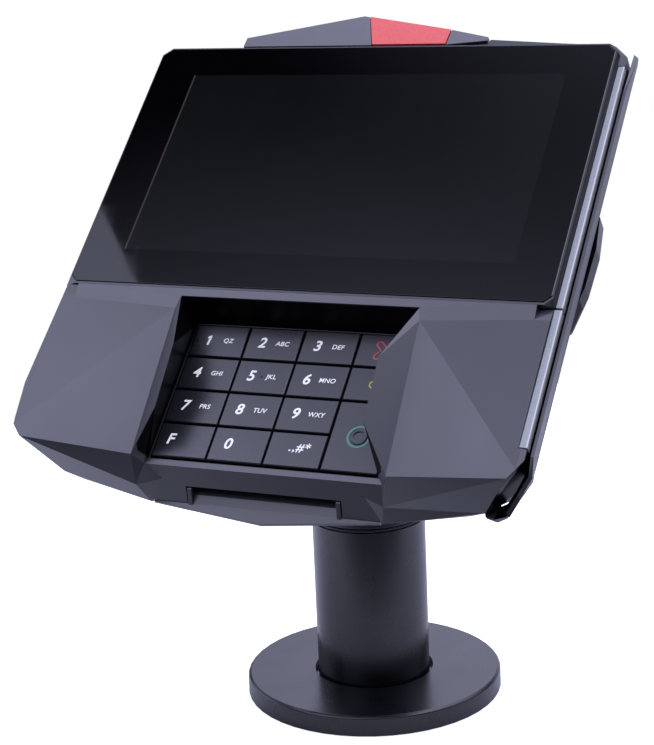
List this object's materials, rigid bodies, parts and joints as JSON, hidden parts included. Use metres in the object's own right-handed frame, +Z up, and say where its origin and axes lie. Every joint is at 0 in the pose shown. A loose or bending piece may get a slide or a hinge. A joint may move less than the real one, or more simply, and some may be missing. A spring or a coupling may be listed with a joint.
{
  "type": "card payment terminal",
  "caption": "Countertop card payment terminal: large black touch screen over a shielded keypad, chip slot, side swipe channel and status lamp, tilting and swivelling on a pole with a round base",
  "frame": {"origin": "on the pole axis, at the underside of the base, where it stands on the counter", "axes": "+Z up along the pole; -Y towards the customer, whom the screen faces; +X to the right as the customer sees it, the side with the swipe channel"},
  "size_m": [0.2238, 0.1733, 0.2948],
  "materials": {
    "case_grey": "fine satin texture, dark blue grey",
    "case_black": "satin black",
    "screen_glass": "polished black cover glass, opaque from outside when the display is off",
    "display": "dark display stack",
    "key_grey": "satin dark grey",
    "light_guide": "frosted pale lilac light guide",
    "lamp_red": "frosted red lens",
    "circuit_green": "solder-masked board",
    "silicone": "soft matt",
    "steel": "plain steel",
    "stand_black": "satin black powder coat",
    "nylon": "black bearing plastic",
    "rubber": "matt"
  },
  "bodies": {
    "base": {"foot_pad": "rubber", "base_plate": "steel", "base_cover": "stand_black", "pole_tube": "stand_black", "pole_spigot": "steel", "pole_lock_screw": "steel", "swivel_bush": "nylon"},
    "neck": {"swivel_post": "stand_black", "swivel_retainer": "steel", "tilt_yoke": "stand_black", "tilt_bolt": "steel", "tilt_nut": "steel", "friction_washer_left": "nylon", "friction_washer_right": "nylon"},
    "head": {"mounting_plate": "stand_black", "plate_screw_1": "steel", "plate_screw_2": "steel", "screen_bezel": "case_grey", "touch_glass": "screen_glass", "display_panel": "display", "contactless_antenna": "circuit_green", "main_board": "circuit_green", "backup_battery": "steel", "speaker": "case_black", "keypad_fascia": "case_grey", "card_slot_lip": "case_grey", "card_reader_body": "case_black", "card_contacts": "steel", "keypad_guide_plate": "case_black", "keypad_mat": "silicone", "keypad_board": "circuit_green", "swipe_rail": "case_grey", "light_guide_upper": "light_guide", "light_guide_lower": "light_guide", "swipe_reader_head": "steel", "rear_casing": "case_grey", "service_cover": "case_grey", "service_cover_screw": "steel", "data_socket": "steel", "case_screw_1": "steel", "case_screw_2": "steel", "case_screw_3": "steel", "case_screw_4": "steel", "lamp_housing": "case_grey", "lamp_lens": "lamp_red"},
    "key_1": {"key_1": "key_grey"},
    "key_2": {"key_2": "key_grey"},
    "key_3": {"key_3": "key_grey"},
    "key_4": {"key_4": "key_grey"},
    "key_5": {"key_5": "key_grey"},
    "key_6": {"key_6": "key_grey"},
    "key_7": {"key_7": "key_grey"},
    "key_8": {"key_8": "key_grey"},
    "key_9": {"key_9": "key_grey"},
    "key_0": {"key_0": "key_grey"},
    "key_function": {"key_function": "key_grey"},
    "key_symbols": {"key_symbols": "key_grey"},
    "key_cancel": {"key_cancel": "key_grey"},
    "key_clear": {"key_clear": "key_grey"},
    "key_enter": {"key_enter": "key_grey"}
  },
  "joints": [
    {"name": "pole_swivel", "type": "hinge", "parent": "base", "child": "neck", "pos_m": [0, 0, 0.08], "axis": [0, 0, 1], "range_deg": [-165, 165]},
    {"name": "head_tilt", "type": "hinge", "parent": "neck", "child": "head", "pos_m": [0, 0, 0.1823], "axis": [1, 0, 0], "range_deg": [-25, 25]},
    {"name": "key_1_press", "type": "slide", "parent": "head", "child": "key_1", "axis": [0, 0.6769, -0.7361], "range_m": [0, 0.0012], "stiffness_N_per_m": 1500, "springref_m": -0.0005},
    {"name": "key_2_press", "type": "slide", "parent": "head", "child": "key_2", "axis": [0, 0.6769, -0.7361], "range_m": [0, 0.0012], "stiffness_N_per_m": 1500, "springref_m": -0.0005},
    {"name": "key_3_press", "type": "slide", "parent": "head", "child": "key_3", "axis": [0, 0.6769, -0.7361], "range_m": [0, 0.0012], "stiffness_N_per_m": 1500, "springref_m": -0.0005},
    {"name": "key_4_press", "type": "slide", "parent": "head", "child": "key_4", "axis": [0, 0.6769, -0.7361], "range_m": [0, 0.0012], "stiffness_N_per_m": 1500, "springref_m": -0.0005},
    {"name": "key_5_press", "type": "slide", "parent": "head", "child": "key_5", "axis": [0, 0.6769, -0.7361], "range_m": [0, 0.0012], "stiffness_N_per_m": 1500, "springref_m": -0.0005},
    {"name": "key_6_press", "type": "slide", "parent": "head", "child": "key_6", "axis": [0, 0.6769, -0.7361], "range_m": [0, 0.0012], "stiffness_N_per_m": 1500, "springref_m": -0.0005},
    {"name": "key_7_press", "type": "slide", "parent": "head", "child": "key_7", "axis": [0, 0.6769, -0.7361], "range_m": [0, 0.0012], "stiffness_N_per_m": 1500, "springref_m": -0.0005},
    {"name": "key_8_press", "type": "slide", "parent": "head", "child": "key_8", "axis": [0, 0.6769, -0.7361], "range_m": [0, 0.0012], "stiffness_N_per_m": 1500, "springref_m": -0.0005},
    {"name": "key_9_press", "type": "slide", "parent": "head", "child": "key_9", "axis": [0, 0.6769, -0.7361], "range_m": [0, 0.0012], "stiffness_N_per_m": 1500, "springref_m": -0.0005},
    {"name": "key_0_press", "type": "slide", "parent": "head", "child": "key_0", "axis": [0, 0.6769, -0.7361], "range_m": [0, 0.0012], "stiffness_N_per_m": 1500, "springref_m": -0.0005},
    {"name": "key_function_press", "type": "slide", "parent": "head", "child": "key_function", "axis": [0, 0.6769, -0.7361], "range_m": [0, 0.0012], "stiffness_N_per_m": 1500, "springref_m": -0.0005},
    {"name": "key_symbols_press", "type": "slide", "parent": "head", "child": "key_symbols", "axis": [0, 0.6769, -0.7361], "range_m": [0, 0.0012], "stiffness_N_per_m": 1500, "springref_m": -0.0005},
    {"name": "key_cancel_press", "type": "slide", "parent": "head", "child": "key_cancel", "axis": [0, 0.6769, -0.7361], "range_m": [0, 0.0012], "stiffness_N_per_m": 1500, "springref_m": -0.0005},
    {"name": "key_clear_press", "type": "slide", "parent": "head", "child": "key_clear", "axis": [0, 0.6769, -0.7361], "range_m": [0, 0.0012], "stiffness_N_per_m": 1500, "springref_m": -0.0005},
    {"name": "key_enter_press", "type": "slide", "parent": "head", "child": "key_enter", "axis": [0, 0.6769, -0.7361], "range_m": [0, 0.0012], "stiffness_N_per_m": 1500, "springref_m": -0.0005}
  ]
}
